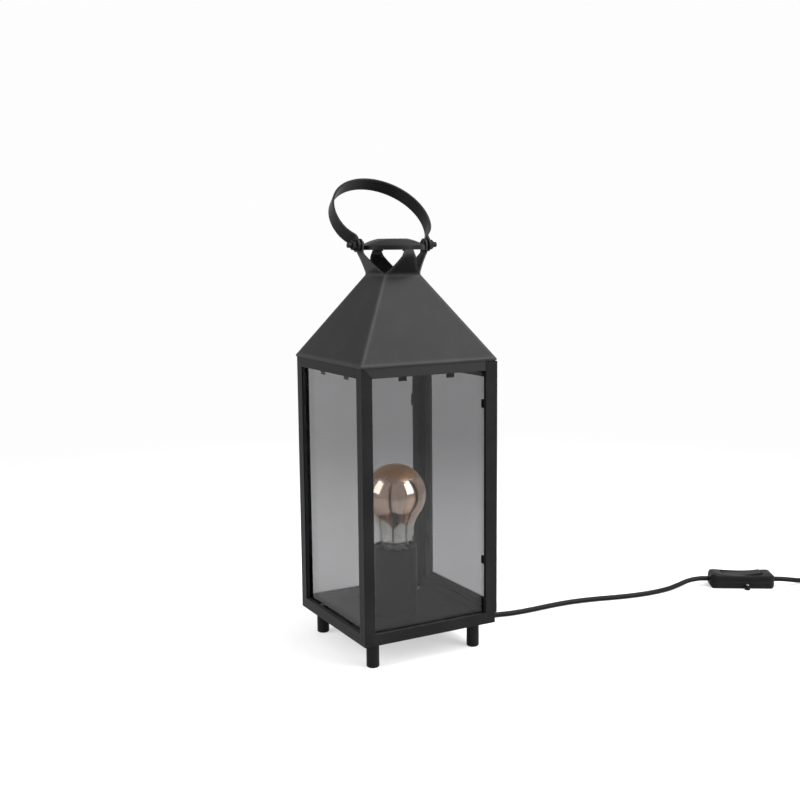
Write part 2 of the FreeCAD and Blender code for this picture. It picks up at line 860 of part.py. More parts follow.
def hinges():
    # Two lift-off hinges at the back: the pin stands in the lower knuckle on the post.
    lower = []
    pins = []
    upper = []
    middle = size.hinge_length / 2
    bore = size.hinge_pin_diameter / 2
    leaf = size.hinge_leaf_thickness
    for number, level in enumerate((size.hinge_low, size.hinge_high)):
        low = level - middle
        name = "hinge_%d" % number
        tube = rod(name + "_low_tube", knuckle, (hinge_out, hinge_u, low), middle)
        plate = block(name + "_low_plate", (hinge_out - size.hinge_leaf_width, hinge_out),
                      (half, half + leaf), (low, level))
        hole = rod(name + "_low_hole", bore + size.thread_gap, (hinge_out, hinge_u, low), middle)
        lower.append(cut(name + "_low", join(name + "_low_solid", [tube, plate]), [hole]))
        gap = size.fit_gap
        tube = rod(name + "_high_tube", knuckle, (hinge_out, hinge_u, level + gap), middle - gap)
        plate = block(name + "_high_plate", (door_front, door_front + leaf),
                      (hinge_u - size.hinge_leaf_width, hinge_u), (level + gap, level + middle))
        hole = rod(name + "_high_hole", bore + gap, (hinge_out, hinge_u, level), middle + gap)
        upper.append(cut(name + "_high", join(name + "_high_solid", [tube, plate]), [hole]))
        pins.append(rod(name + "_pin", bore, (hinge_out, hinge_u, low),
                        size.hinge_length - size.hinge_pin_short))
    keep("hinge_post_leaves", group("hinge_post_leaves", lower))
    keep("hinge_pins", group("hinge_pins", pins))
    keep("hinge_door_leaves", group("hinge_door_leaves", upper))


def door_magnet():
    # let into the right top rail, its face flush with the rail
    magnet = rod("door_magnet", size.magnet_diameter / 2,
                 (half - size.magnet_length, magnet_place, magnet_level), size.magnet_length, "x")
    keep("door_magnet", magnet)


# ---- lamp tube and lampholder ----

tube_inside = tray_top + size.tube_wall
holder_low = tube_inside + size.nipple_nut_height
holder_joint = holder_low + size.holder_base_height
holder_top = holder_joint + size.holder_shell_height
holder_radius = size.holder_diameter / 2
thread_floor = holder_joint + size.holder_floor + size.holder_floor_rise
contact_top = thread_floor + size.contact_rise
nipple_radius = size.nipple_diameter / 2
nipple_low = bottom - size.nipple_nut_height - size.nipple_low_end


def lamp_tube():
    radius = size.tube_diameter / 2
    hole = nipple_radius + size.fit_gap
    high = tray_top + size.tube_height
    profile = [(hole, tray_top), (radius, tray_top), (radius, high),
               (radius - size.tube_wall, high), (radius - size.tube_wall, tube_inside),
               (hole, tube_inside)]
    keep("lamp_tube", turned("lamp_tube", profile))


def nipple_and_nuts():
    length = holder_low + size.holder_wall + size.nipple_high_end - nipple_low
    outer = rod("nipple_outer", nipple_radius, (0, 0, nipple_low), length)
    bore = rod("nipple_bore", size.nipple_bore / 2, (0, 0, nipple_low), length)
    keep("nipple", cut("nipple", outer, [bore]))
    nuts = []
    for number, low in enumerate((bottom - size.nipple_nut_height, tube_inside)):
        name = "nipple_nut_%d" % number
        blank = hexagon(name + "_blank", size.nipple_nut_width, (0, 0, low),
                        size.nipple_nut_height)
        hole = rod(name + "_hole", nipple_radius + size.thread_gap, (0, 0, low),
                   size.nipple_nut_height)
        nuts.append(cut(name, blank, [hole]))
    keep("nipple_nuts", group("nipple_nuts", nuts))


def lampholder():
    thick = size.holder_wall
    hole = nipple_radius + size.thread_gap
    slant = size.holder_chamfer
    base = [(hole, holder_low), (holder_radius - slant, holder_low),
            (holder_radius, holder_low + slant),
            (holder_radius, holder_joint), (holder_radius - thick, holder_joint),
            (holder_radius - thick, holder_low + thick + 1), (hole, holder_low + thick)]
    keep("lampholder_base", turned("lampholder_base", base))
    sleeve_seat = size.sleeve_diameter / 2 + size.thread_gap
    floor_low = thread_floor - size.holder_floor
    shell = [(0, floor_low), (holder_radius - thick, floor_low),
             (holder_radius - thick, holder_joint), (holder_radius, holder_joint),
             (holder_radius, holder_top - 1), (holder_radius - 1, holder_top),
             (sleeve_seat, holder_top), (sleeve_seat, thread_floor), (0, thread_floor)]
    keep("lampholder_shell", turned("lampholder_shell", shell))
    radius = size.sleeve_diameter / 2
    sleeve_low = thread_floor
    sleeve_high = holder_top - size.sleeve_drop
    outer = rod("sleeve_outer", radius, (0, 0, sleeve_low), sleeve_high - sleeve_low)
    bore = rod("sleeve_bore", radius - size.sleeve_wall, (0, 0, sleeve_low),
               sleeve_high - sleeve_low)
    keep("lampholder_sleeve", cut("lampholder_sleeve", outer, [bore]))
    # a folded spring tongue that rises from the floor to the bulb's tip
    strip = size.contact_strip
    tongue = new_body("lampholder_contact")
    bent = [(-9, thread_floor), (1, thread_floor), (1, thread_floor + strip),
            (-7, thread_floor + strip), (-2, contact_top - strip), (5, contact_top - strip),
            (5, contact_top), (-2.5, contact_top), (-9, thread_floor + strip)]
    pad(tongue, sketch_on(tongue, "XZ", [bent]), size.contact_width, both_ways=True)
    keep("lampholder_contact", tongue)


# ---- bulb ----

def bulb():
    low = contact_top + size.fit_gap
    cap_top = low + size.bulb_cap_height
    high = low + size.bulb_length
    ball = size.bulb_diameter / 2
    centre = high - ball
    neck = size.bulb_neck_diameter / 2
    neck_level = cap_top + size.bulb_neck_rise
    drop = centre - neck_level
    # the concave shoulder leaves the neck upright and meets the ball tangentially
    hollow = (neck * neck + drop * drop - ball * ball) / ((ball - neck) * 2)
    thick = size.bulb_wall
    share_u = (neck + hollow) / (ball + hollow)
    share_v = drop / (ball + hollow)
    rim = size.bulb_cap_diameter / 2

    def face(shift):
        return [(neck - shift, neck_level, -(hollow + shift)),
                (share_u * (ball - shift), centre - share_v * (ball - shift), ball - shift),
                (ball - shift, centre, ball - shift)]

    outside = face(0)
    inside = face(thick)
    back = [(0, high - thick, -(ball - thick)), (ball - thick, centre, -(ball - thick)),
            (inside[1][0], inside[1][1], hollow + thick), (inside[0][0], inside[0][1])]
    profile = [(rim - thick, cap_top), (rim, cap_top)] + outside + [(0, high)] + back
    keep("bulb_glass", turned("bulb_glass", profile))
    insulator = size.bulb_insulator
    tip = size.bulb_contact_diameter / 2
    tip_height = size.bulb_tip_height
    base = low + tip_height
    shoulder = base + insulator + 2
    screw_shell = [(0, base), (tip, base), (rim - 1.5, base + insulator), (rim, shoulder),
                   (rim, cap_top), (rim - 1, cap_top), (rim - 1, shoulder), (0, base + insulator)]
    keep("bulb_cap", turned("bulb_cap", screw_shell))
    button = cone("bulb_contact", tip - 1, tip, (0, 0, low), tip_height)
    keep("bulb_contact", button)
    stem_top = centre - size.stem_drop
    stem = [(0, cap_top - 1), (rim - 2, cap_top - 1), (rim - 3, cap_top, -14), (3.2, cap_top + 9),
            (2.2, stem_top), (0, stem_top)]
    keep("bulb_stem", turned("bulb_stem", stem))
    filaments = []
    spread = size.filament_spread
    for number in range(int(size.filament_count.value)):
        turn = 360 * number / size.filament_count.value + size.filament_turn.value
        bar = rod("filament_%d" % number, size.filament_diameter / 2, (0, 0, 0),
                  size.filament_length)
        leaning = FreeCAD.Rotation(FreeCAD.Vector(0, 1, 0), size.filament_lean.value)
        way = FreeCAD.Rotation(upright, turn) * leaning
        bar.Placement = FreeCAD.Placement(FreeCAD.Vector(0, 0, 0), way)
        bind(bar, "Placement.Base.x", spread * math.cos(math.radians(turn)))
        bind(bar, "Placement.Base.y", spread * math.sin(math.radians(turn)))
        bind(bar, "Placement.Base.z", stem_top - size.filament_drop)
        filaments.append(bar)
    keep("bulb_filaments", group("bulb_filaments", filaments))


# ---- cord cover and strain relief under the tray ----

cover_radius = size.cover_diameter / 2
cover_low = bottom - size.cover_depth
boss = size.screw_diameter / 2 + size.boss_wall
cover_screw_out = cover_radius - size.cover_wall - boss + size.boss_sink
cover_screw_places = [(0, -cover_screw_out), (0, cover_screw_out)]
relief_seat = size.relief_tip_diameter / 2


def cord_cover():
    thick = size.cover_wall
    hole = size.screw_diameter / 2 + size.fit_gap
    soft = size.cover_edge_radius
    profile = [(0, cover_low), (cover_radius - soft, cover_low, soft),
               (cover_radius, cover_low + soft),
               (cover_radius, bottom), (cover_radius - thick, bottom),
               (cover_radius - thick, cover_low + thick), (0, cover_low + thick)]
    shell = turned("cover_shell", profile)
    bosses = [rod("cover_boss_%d" % number, boss, (x, y, cover_low + thick),
                  size.cover_depth - thick)
              for number, (x, y) in enumerate(cover_screw_places)]
    holes = [rod("cover_hole_%d" % number, hole, (x, y, cover_low), size.cover_depth)
             for number, (x, y) in enumerate(cover_screw_places)]
    exit_hole = rod("cover_exit", relief_seat + size.thread_gap,
                    (cover_radius - thick * 2, 0, size.relief_height), thick * 3, "x")
    solid = join("cover_solid", [shell] + bosses)
    keep("cord_cover", cut("cord_cover", solid, holes + [exit_hole]))
    reach = size.cover_depth + wall
    screws = [screw("cover_screw_%d" % number, x, y, cover_low, reach, True)
              for number, (x, y) in enumerate(cover_screw_places)]
    keep("cord_cover_screws", group("cord_cover_screws", screws))


def strain_relief():
    # turned about its own axis, then laid along +X
    flange = cover_radius + size.relief_flange
    end = cover_radius + size.relief_length
    start = cover_radius - size.cover_wall - size.relief_inside
    radius = size.relief_diameter / 2
    profile = [(0, start), (relief_seat, start), (relief_seat, cover_radius + size.fit_gap),
               (radius, cover_radius + size.fit_gap), (radius, flange), (radius - size.relief_chamfer, flange),
               (size.relief_tip_diameter / 2, end), (0, end)]
    body = turned("strain_relief", profile)
    keep("strain_relief", place(body, (0, 0, size.relief_height), (0, 1, 0), 90))
    return end


# ---- cord ----

cord_radius = size.cord_diameter.value / 2
lying = cord_radius + 0.1
switch_place = (416.7, -48.7)
switch_turn = -32
switch_way = (math.cos(math.radians(switch_turn)), math.sin(math.radians(switch_turn)))
switch_half = size.switch_length.value / 2
cord_level = 8.5
coil_centre = (521, -121)
coil_turning = 2310
coil_start_angle = 80
coil_steps = 26
straight_end = size.cord_diameter.value
relief_end = cover_radius.value + size.relief_length.value


def arc_radius(before, here, after):
    arriving = here - before
    leaving = after - here
    turn = arriving.getAngle(leaving)
    return 0.45 * min(arriving.Length, leaving.Length) / math.tan(turn / 2), turn


def rounded_wire(points):
    # straight runs joined by tangent arcs, as large as the shorter run allows
    edges = []
    radii = []
    at = points[0]
    for before, here, after in zip(points, points[1:], points[2:]):
        radius, turn = arc_radius(before, here, after)
        radii.append(round(radius, 1))
        back = 0.45 * min((here - before).Length, (after - here).Length)
        into = (here - before).normalize()
        out = (after - here).normalize()
        start = here - into * back
        end = here + out * back
        middle = here + (out - into).normalize() * radius * (1 / math.cos(turn / 2) - 1)
        edges.append(Part.LineSegment(at, start).toShape())
        edges.append(Part.Arc(start, middle, end).toShape())
        at = end
    edges.append(Part.LineSegment(at, points[-1]).toShape())
    return Part.Wire(edges), radii


def tube_along(name, wire, start, way):
    profile = Part.Wire([Part.Circle(start, way, cord_radius).toShape()])
    shell = wire.makePipeShell([profile], True, False)
    feature = doc.addObject("Part::Feature", name)
    feature.Shape = shell
    feature.Placement = FreeCAD.Placement()
    expected = math.pi * cord_radius ** 2 * wire.Length
    print("%s: length %.1f, volume ratio %.4f" % (name, wire.Length, shell.Volume / expected))
    return keep(name, feature)


def cord_stretch(name, route):
    points = [FreeCAD.Vector(*spot) for spot in route]
    wire, radii = rounded_wire(points)
    print(name, "arc radii", radii)
    return tube_along(name, wire, points[0], points[1] - points[0])


def beside_switch(hand, away):
    reach = switch_half + away
    return (switch_place[0] + hand * switch_way[0] * reach,
            switch_place[1] + hand * switch_way[1] * reach, cord_level)


lead_route = [
    (relief_end, 0, size.relief_height.value),
    (59, 0, size.relief_height.value),
    (78, 0.3, 10.0),
    (97, 1.0, 4.4),
    (118.5, 1.6, lying),
    (134.3, -2.8, lying),
    (159.4, -4.1, lying),
    (186.8, -3.0, lying),
    (213.1, -4.1, lying),
    (237.1, -8.7, lying),
    (259.9, -15.3, lying),
    (283.6, -21.1, lying),
    (310.2, -24.0, lying),
    (334, -22.9, 3.0),
    (351.3, -20.7, 4.6),
    (365.3, -20.5, 7.2),
    beside_switch(-1, 10),
    beside_switch(-1, 0),
]


def coil_point(turns):
    # turns counts from the middle of the climb, negative on the way in
    pitch = size.coil_pitch.value
    total = coil_turning / 360
    inmost = size.coil_radius.value - pitch * (total / 2 - 1 / 8)
    if abs(turns) < 1 / 4:
        radius = inmost + 2 * pitch * turns * turns
        rise = 1 / 2 + 2 * turns
    else:
        radius = inmost + pitch * (abs(turns) - 1 / 8)
        rise = 0 if turns < 0 else 1
    angle = math.radians(coil_start_angle - 360 * (turns + total / 2))
    return FreeCAD.Vector(coil_centre[0] + radius * math.cos(angle),
                          coil_centre[1] + radius * math.sin(angle), lying + pitch * rise)


def coil_way(turns):
    step = 1e-5
    return (coil_point(turns + step) - coil_point(turns - step)).normalize()


def biarc(start, start_way, end, end_way):
    # two arcs that leave start and reach end in the given directions
    across = end - start
    ways = start_way + end_way
    square = 2 * (1 - start_way.dot(end_way))
    blend = across.dot(ways)
    reach = (-blend + math.sqrt(blend * blend + square * across.dot(across))) / square
    near = start + start_way * reach
    far = end - end_way * reach
    meet = (near + far) / 2
    arcs = []
    for corner, first, last, way in ((near, start, meet, start_way), (far, meet, end, None)):
        into = (corner - first).normalize()
        out = (last - corner).normalize()
        turn = into.getAngle(out)
        radius = (last - first).Length / 2 / math.sin(turn / 2)
        middle = (first + last) / 2 + (into - out).normalize() * radius * (1 - math.cos(turn / 2))
        arcs.append(Part.Arc(first, middle, last).toShape())
    return arcs


def least_gap(turn_span):
    # nearest approach of two places on the coil more than half a turn apart
    count = 1500
    spots = [coil_point(-turn_span + 2 * turn_span * index / count) for index in range(count + 1)]
    skip = int(count / (2 * turn_span) / 2)
    nearest = min((spots[i] - spots[j]).Length
                  for i in range(0, count, 3) for j in range(i + skip, count + 1, 3))
    return nearest - 2 * cord_radius


def cord_coil():
    span = coil_turning / 720
    marks = [-span + 2 * span * index / coil_steps for index in range(coil_steps + 1)]
    edges = []
    first = coil_point(marks[0])
    first_way = coil_way(marks[0] + 2e-5)
    start = first - first_way * straight_end
    edges.append(Part.LineSegment(start, first).toShape())
    for low, high in zip(marks, marks[1:]):
        edges += biarc(coil_point(low), coil_way(low), coil_point(high), coil_way(high))
    last = coil_point(marks[-1])
    last_way = coil_way(marks[-1] - 2e-5)
    end = last + last_way * straight_end
    edges.append(Part.LineSegment(last, end).toShape())
    tube_along("cord_coil", Part.Wire(edges), start, first_way)
    print("cord_coil: least gap to itself %.2f" % least_gap(span))
    return start, first_way, end, last_way


def cord():
    start, start_way, end, end_way = cord_coil()
    cord_stretch("cord_lead", lead_route)
    coil_entry = start - start_way * 12
    run_route = [
        beside_switch(1, 0),
        beside_switch(1, 9),
        (467.2, -76.7, 6.6),
        (480.2, -77.4, 3.8),
        (495.2, -76.4, lying),
        tuple(coil_entry),
        tuple(start),
    ]
    cord_stretch("cord_run", run_route)
    plug_start = FreeCAD.Vector(*plug_place)
    tail_route = [
        tuple(end),
        tuple(end + end_way * 12),
        tuple(plug_start - FreeCAD.Vector(*plug_way) * 13),
        plug_place,
    ]
    cord_stretch("cord_tail", tail_route)


# ---- inline switch ----

def laid(thing):
    return place(thing, (switch_place[0], switch_place[1], 0), angle=switch_turn)


def rounded_plan(length, width, corner):
    u = length / 2
    v = width / 2
    return [(-u + corner, -v), (u - corner, -v, corner), (u, -v + corner), (u, v - corner, corner),
            (u - corner, v), (-u + corner, v, corner), (-u, v - corner), (-u, -v + corner, corner)]


def switch_form(name, plan, low, high, side_view, end_view):
    # one shell where its plan, its side view and its end view meet
    blank = new_body(name + "_plan")
    pad(blank, sketch_on(blank, "XY", [plan], offset=low), high - low)
    side = new_body(name + "_side")
    pad(side, sketch_on(side, "XZ", [side_view]), size.switch_width * 2, both_ways=True)
    end = new_body(name + "_end")
    pad(end, sketch_on(end, "YZ", [end_view]), size.switch_length * 2, both_ways=True)
    return common(name + "_form", common(name + "_views", blank, side), end)


def switch():
    reach = size.switch_length / 2
    across = size.switch_width / 2
    crest = size.switch_height
    parting = size.switch_parting
    turn = size.switch_end_radius
    soft = size.switch_edge_radius
    foot = size.switch_base_radius
    plan = rounded_plan(size.switch_length, size.switch_width, size.switch_corner)
    slot = rounded_plan(size.rocker_length + size.rocker_gap,
                        size.rocker_width + size.rocker_gap, size.rocker_slot_corner)
    side_view = [(-reach, parting), (reach, parting), (reach, crest - turn, turn),
                 (reach - turn, crest, -size.switch_saddle_radius), (-reach + turn, crest, turn),
                 (-reach, crest - turn)]
    end_view = [(-across, parting), (across, parting), (across, crest - soft, soft),
                (across - soft, crest), (-across + soft, crest, soft), (-across, crest - soft)]
    shaped = switch_form("switch_upper", plan, parting, crest, side_view, end_view)
    well = new_body("switch_well")
    pad(well, sketch_on(well, "XY", [slot], offset=parting), crest)
    keep("switch_upper_shell", laid(cut("switch_upper_shell", shaped, [well])))
    side_view = [(-reach + soft, 0), (reach - soft, 0, soft), (reach, soft), (reach, parting),
                 (-reach, parting), (-reach, soft, soft)]
    end_view = [(-across + foot, 0), (across - foot, 0, foot), (across, foot), (across, parting),
                (-across, parting), (-across, foot, foot)]
    lower = switch_form("switch_lower", plan, 0, parting, side_view, end_view)
    floor = size.switch_wall
    pit = new_body("switch_pit")
    deep = size.switch_pit_depth
    pad(pit, sketch_on(pit, "XY", [slot], offset=parting - deep), deep)
    lug_top = size.switch_lug_height
    lug_along = size.switch_lug_offset
    lug_out = -across - size.switch_lug_radius * 0.6
    shank_radius = size.switch_screw_radius
    lug = rod("switch_lug", size.switch_lug_radius, (lug_along, lug_out, 0), lug_top)
    screw_hole = rod("switch_screw_hole", shank_radius + size.thread_gap,
                     (lug_along, lug_out, floor), parting)
    base = join("switch_lower_solid", [lower, lug])
    keep("switch_lower_shell", laid(cut("switch_lower_shell", base, [pit, screw_hole])))
    shank = rod("switch_screw_shank", shank_radius, (lug_along, lug_out, floor), lug_top - floor)
    head = rod("switch_screw_head", shank_radius + 0.5, (lug_along, lug_out, lug_top), 1)
    keep("switch_screw", laid(join("switch_screw", [shank, head])))


def rocker():
    # two facets that fall to a shallow valley over the pivot
    body = new_body("switch_rocker")
    end = size.rocker_length / 2
    crest = size.switch_height - size.switch_parting - size.rocker_pin_rise
    fall = sine(size.rocker_tilt) * end
    shifted = [(-end + 0.3, 0), (-3, -2.4), (3, -2.4), (end - 0.3, 0),
               (end - 0.9, crest - 2.2 + fall), (0, crest - 2.6), (-end + 0.9, crest - 2.2 + fall)]
    pad(body, sketch_on(body, "XZ", [shifted]), size.rocker_width, both_ways=True)
    pin = size.switch_parting + size.rocker_pin_rise
    tilted = place(body, (0, 0, pin), (0, 1, 0), -size.rocker_tilt)
    keep("switch_rocker", laid(group("switch_rocker", [tilted])))


# ---- plug ----

plug_way = (-0.94, -0.342, 0)
plug_place = (489.0, -175.2, 7.05)
plug_turn = math.degrees(math.atan2(plug_way[1], plug_way[0]))


def plug():
    # along +X in its own frame, the cord entering at the origin
    relief = size.plug_relief_length
    start = relief
    end = relief + size.plug_length
    v = size.plug_width / 2
    waist = v - size.plug_waist_inset
    widens = start + size.plug_waist_length
    plan = [(start, -waist), (widens, -waist), (end, -v), (end, v), (widens, waist),
            (start, waist)]
    body = new_body("plug_blank")
    pad(body, sketch_on(body, "XY", [plan]), size.plug_height, both_ways=True)
    tip = size.relief_tip_diameter / 2
    taper = cone("plug_relief", tip, tip + size.plug_relief_flare, (0, 0, 0), relief)
    taper = place(taper, (0, 0, 0), (0, 1, 0), 90)
    whole = join("plug_body", [body, taper])
    keep("plug_body", place(whole, plug_place, angle=plug_turn))
    pins = [rod("plug_pin_%d" % hand, size.plug_pin_diameter / 2,
                (end, size.plug_pin_spacing * hand / 2, 0), size.plug_pin_length, "x")
            for hand in (-1, 1)]
    keep("plug_pins", place(group("plug_pins", pins), plug_place, angle=plug_turn))


# ---- assembly ----

for corner_name, corner_turn in (("front_left", 0), ("front_right", 90), ("back_right", 180),
                                 ("back_left", 270)):
    corner_post("corner_post_" + corner_name, corner_turn)
base_tray()
for side, side_turn in sides.items():
    top_rail("top_rail_" + side, side_turn)
feet()
for side in ("front", "left", "back"):
    pane(side + "_glass", sides[side])
    gasket(side + "_gasket", sides[side])
glass_clips()
roof()
cap()
handle()
handle_fasteners()
door()
hinges()
door_magnet()
lamp_tube()
nipple_and_nuts()
lampholder()
bulb()
cord_cover()
strain_relief()
cord()
switch()
rocker()
plug()
doc.recompute()

for item in doc.Objects:
    if "Invalid" in item.State or "Error" in item.State:
        raise RuntimeError("%s failed: %s" % (item.Name, item.State))
for name, node in nodes.items():
    if node.Shape.isNull() or not node.Shape.isValid():
        raise RuntimeError("%s has no valid shape" % name)

os.makedirs("parts", exist_ok=True)
for name, node in nodes.items():
    node.Shape.exportStep("parts/%s.step" % name)
    print("%-24s solids %d volume %.1f" % (name, len(node.Shape.Solids), node.Shape.Volume))
print(len(nodes), "nodes")
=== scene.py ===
import json
import math
import bmesh
import bpy
from mathutils import Matrix, Vector


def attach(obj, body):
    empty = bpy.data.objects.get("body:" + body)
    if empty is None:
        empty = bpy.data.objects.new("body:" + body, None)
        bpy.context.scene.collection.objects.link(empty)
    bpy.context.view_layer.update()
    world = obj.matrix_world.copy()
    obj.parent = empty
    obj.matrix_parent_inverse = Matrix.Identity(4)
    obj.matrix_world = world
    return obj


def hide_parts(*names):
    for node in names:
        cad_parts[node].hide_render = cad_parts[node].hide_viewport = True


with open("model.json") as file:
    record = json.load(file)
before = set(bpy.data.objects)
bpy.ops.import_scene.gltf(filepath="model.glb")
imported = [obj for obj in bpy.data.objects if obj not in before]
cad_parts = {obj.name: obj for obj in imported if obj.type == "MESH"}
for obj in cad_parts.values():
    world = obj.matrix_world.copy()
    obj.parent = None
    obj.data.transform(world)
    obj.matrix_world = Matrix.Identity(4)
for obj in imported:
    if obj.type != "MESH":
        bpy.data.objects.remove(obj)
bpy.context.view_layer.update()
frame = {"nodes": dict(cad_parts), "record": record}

# Lantern table lamp, in metres: its finishes, its cord and the light it stands in.
nodes = frame["nodes"]
print("frame loaded:", len(nodes), "nodes")


class Link:
    # one value in a material; arithmetic on it adds Math nodes
    def __init__(self, tree, socket=None):
        self.tree = tree
        self.socket = socket

    def node(self, kind, sockets=None, out=0, **settings):
        made = self.tree.nodes.new(kind)
        for name, value in settings.items():
            setattr(made, name, value)
        for name, value in (sockets or {}).items():
            if isinstance(value, Link):
                self.tree.links.new(value.socket, made.inputs[name])
            elif hasattr(value, "__len__"):
                made.inputs[name].default_value = (*value, 1)
            else:
                made.inputs[name].default_value = value
        return Link(self.tree, made.outputs[out])

    def maths(self, operation, *values):
        return self.node("ShaderNodeMath", dict(enumerate(values)), operation=operation)

    def __add__(self, other):
        return self.maths("ADD", self, other)

    def __radd__(self, other):
        return self.maths("ADD", other, self)

    def __sub__(self, other):
        return self.maths("SUBTRACT", self, other)

    def __rsub__(self, other):
        return self.maths("SUBTRACT", other, self)

    def __mul__(self, other):
        return self.maths("MULTIPLY", self, other)

    def __rmul__(self, other):
        return self.maths("MULTIPLY", other, self)

    def __pow__(self, other):
        return self.maths("POWER", self, other)


def newMaterial(name):
    material = bpy.data.materials.new(name)
    material.use_nodes = True
    material.node_tree.nodes.clear()
    return material, Link(material.node_tree)


def output(here, shader):
    end = here.tree.nodes.new("ShaderNodeOutputMaterial")
    here.tree.links.new(shader.socket, end.inputs["Surface"])


def objectPlace(here):
    return here.node("ShaderNodeTexCoord", out="Object")


def heightOf(here, where):
    return here.node("ShaderNodeSeparateXYZ", {0: where}, "Z")


def noise(here, where, scale, detail, roughness):
    return here.node("ShaderNodeTexNoise",
                     {"Vector": where, "Scale": scale, "Detail": detail, "Roughness": roughness}, "Fac")


def spread(here, value, low, high, start=0, end=1):
    return here.node("ShaderNodeMapRange",
                     {"Value": value, "From Min": low, "From Max": high, "To Min": start, "To Max": end},
                     interpolation_type="SMOOTHSTEP")


def mixColour(here, factor, first, second):
    return here.node("ShaderNodeMix", {0: factor, 6: first, 7: second}, 2, data_type="RGBA")


def softEdge(here, radius):
    return here.node("ShaderNodeBevel", {"Radius": radius}, samples=6)


def edgeMask(here, edge, low, high):
    # 1 where the rounded normal leaves the face's own, that is, close to a corner
    face = here.node("ShaderNodeNewGeometry", out="Normal")
    along = here.node("ShaderNodeVectorMath", {0: edge, 1: face}, "Value", operation="DOT_PRODUCT")
    return spread(here, 1 - along, low, high)


def bump(here, height, strength, depth, normal=None):
    sockets = {"Height": height, "Strength": strength, "Distance": depth}
    if normal is not None:
        sockets["Normal"] = normal
    return here.node("ShaderNodeBump", sockets)


def principled(here, sockets):
    return here.node("ShaderNodeBsdfPrincipled", sockets)


def mixShader(here, factor, first, second):
    return here.node("ShaderNodeMixShader", {0: factor, 1: first, 2: second})


def gloss(here, straight):
    # how much a clear surface mirrors, the same from inside and out
    facing = here.node("ShaderNodeLayerWeight", {"Blend": 0.5}, "Facing")
    return facing ** 6 * (1 - straight) + straight


def glassBody(here, mirrored, tint, mirror):
    # light goes through tinted, apart from the share that is mirrored
    clear = here.node("ShaderNodeBsdfTransparent", {"Color": tint})
    return mixShader(here, mirrored, clear, mirror)


# In the looks below a noise is scale, detail and roughness, and a range is low and high.
satinCoat = {"colour": (0.007, 0.007, 0.0073), "paler": (0.0115, 0.0115, 0.012),
             "cloud": (28, 4, 0.55), "cloudRange": (0.35, 0.75), "cloudShare": 0.55,
             "speckle": (420, 3, 0.6), "speckleRange": (0.62, 0.8), "speckleShare": 0.5,
             # the wear colour serves the worn corners and also the painted highlight on the bends
             "wearAndHighlight": (0.04, 0.04, 0.039), "scuff": (95, 5, 0.7), "scuffRange": (0.42, 0.68),
             "cornerRange": (0.02, 0.24), "wornShare": 0.6,
             # the band is a painted highlight, a paler strip along the bends of the sheet
             "highlightBand": 0, "bandRange": (0.004, 0.14), "highlightShare": 0.25, "highlightUneven": 0.5,
             "roughness": 0.36, "cloudRough": 0.16, "speckleRough": 0.08, "wornSmooth": 0.08,
             "specular": 0.045, "edge": 0.0006, "lean": 0, "relief": 0.35, "reliefDepth": 0.00002,
             "grain": (1100, 2, 0.5), "grainHeight": 0.6, "speckleHeight": 0.4,
             "wave": (22, 2, 0.4), "waveHeight": 18.0}
# the roof carries the painted highlight band along its bends
roofCoat = {**satinCoat, "paler": (0.015, 0.015, 0.0155), "waveHeight": 28.8, "highlightBand": 0.005}
railCoat = {**satinCoat, "lean": 0.2}


def coatMaterial(name, look):
    material, here = newMaterial(name)
    where = objectPlace(here)
    cloud = noise(here, where, *look["cloud"])
    speckle = noise(here, where, *look["speckle"])
    grain = noise(here, where, *look["grain"])
    scuff = noise(here, where, *look["scuff"])
    wave = noise(here, where, *look["wave"])
    edge = softEdge(here, look["edge"])
    worn = edgeMask(here, edge, *look["cornerRange"]) * spread(here, scuff, *look["scuffRange"])
    clouded = spread(here, cloud, *look["cloudRange"], 0, look["cloudShare"])
    speckled = spread(here, speckle, *look["speckleRange"], 0, look["speckleShare"])
    colour = mixColour(here, clouded, look["colour"], look["paler"])
    colour = mixColour(here, speckled, colour, look["paler"])
    colour = mixColour(here, worn * look["wornShare"], colour, look["wearAndHighlight"])
    if look["highlightBand"]:
        # painted highlight: the bends of the sheet are made paler in a broad, uneven band
        bendHighlight = edgeMask(here, softEdge(here, look["highlightBand"]), *look["bandRange"])
        lighter = bendHighlight * (look["highlightShare"] + cloud * look["highlightUneven"])
        colour = mixColour(here, lighter, colour, look["wearAndHighlight"])
    rough = (look["roughness"] + (cloud - 0.5) * look["cloudRough"]
             + (speckle - 0.5) * look["speckleRough"] - worn * look["wornSmooth"])
    height = grain * look["grainHeight"] + speckle * look["speckleHeight"] + wave * look["waveHeight"]
    normal = bump(here, height, look["relief"], look["reliefDepth"], edge)
    if look["lean"]:
        # the face is tipped up a little, as on a rolled rail
        normal = bump(here, heightOf(here, where) * -look["lean"], 1.0, 1.0, normal)
    output(here, principled(here, {"Base Color": colour, "Roughness": rough, "Normal": normal,
                                   "Specular IOR Level": look["specular"]}))
    return material


smokedGlass = {"tint": (0.664, 0.664, 0.668), "sheen": (0.9, 0.9, 0.9), "straight": 0.024,
               "haze": (35, 5, 0.6), "hazeRange": (0.4, 0.8), "roughnessRange": (0.004, 0.034)}


def paneMaterial(name, look):
    # a see-through smoked sheet with a plain gloss on both faces
    material, here = newMaterial(name)
    haze = noise(here, objectPlace(here), *look["haze"])
    rough = spread(here, haze, *look["hazeRange"], *look["roughnessRange"])
    sheen = principled(here, {"Base Color": look["sheen"], "Metallic": 1.0, "Roughness": rough})
    output(here, glassBody(here, gloss(here, look["straight"]), look["tint"], sheen))
    return material


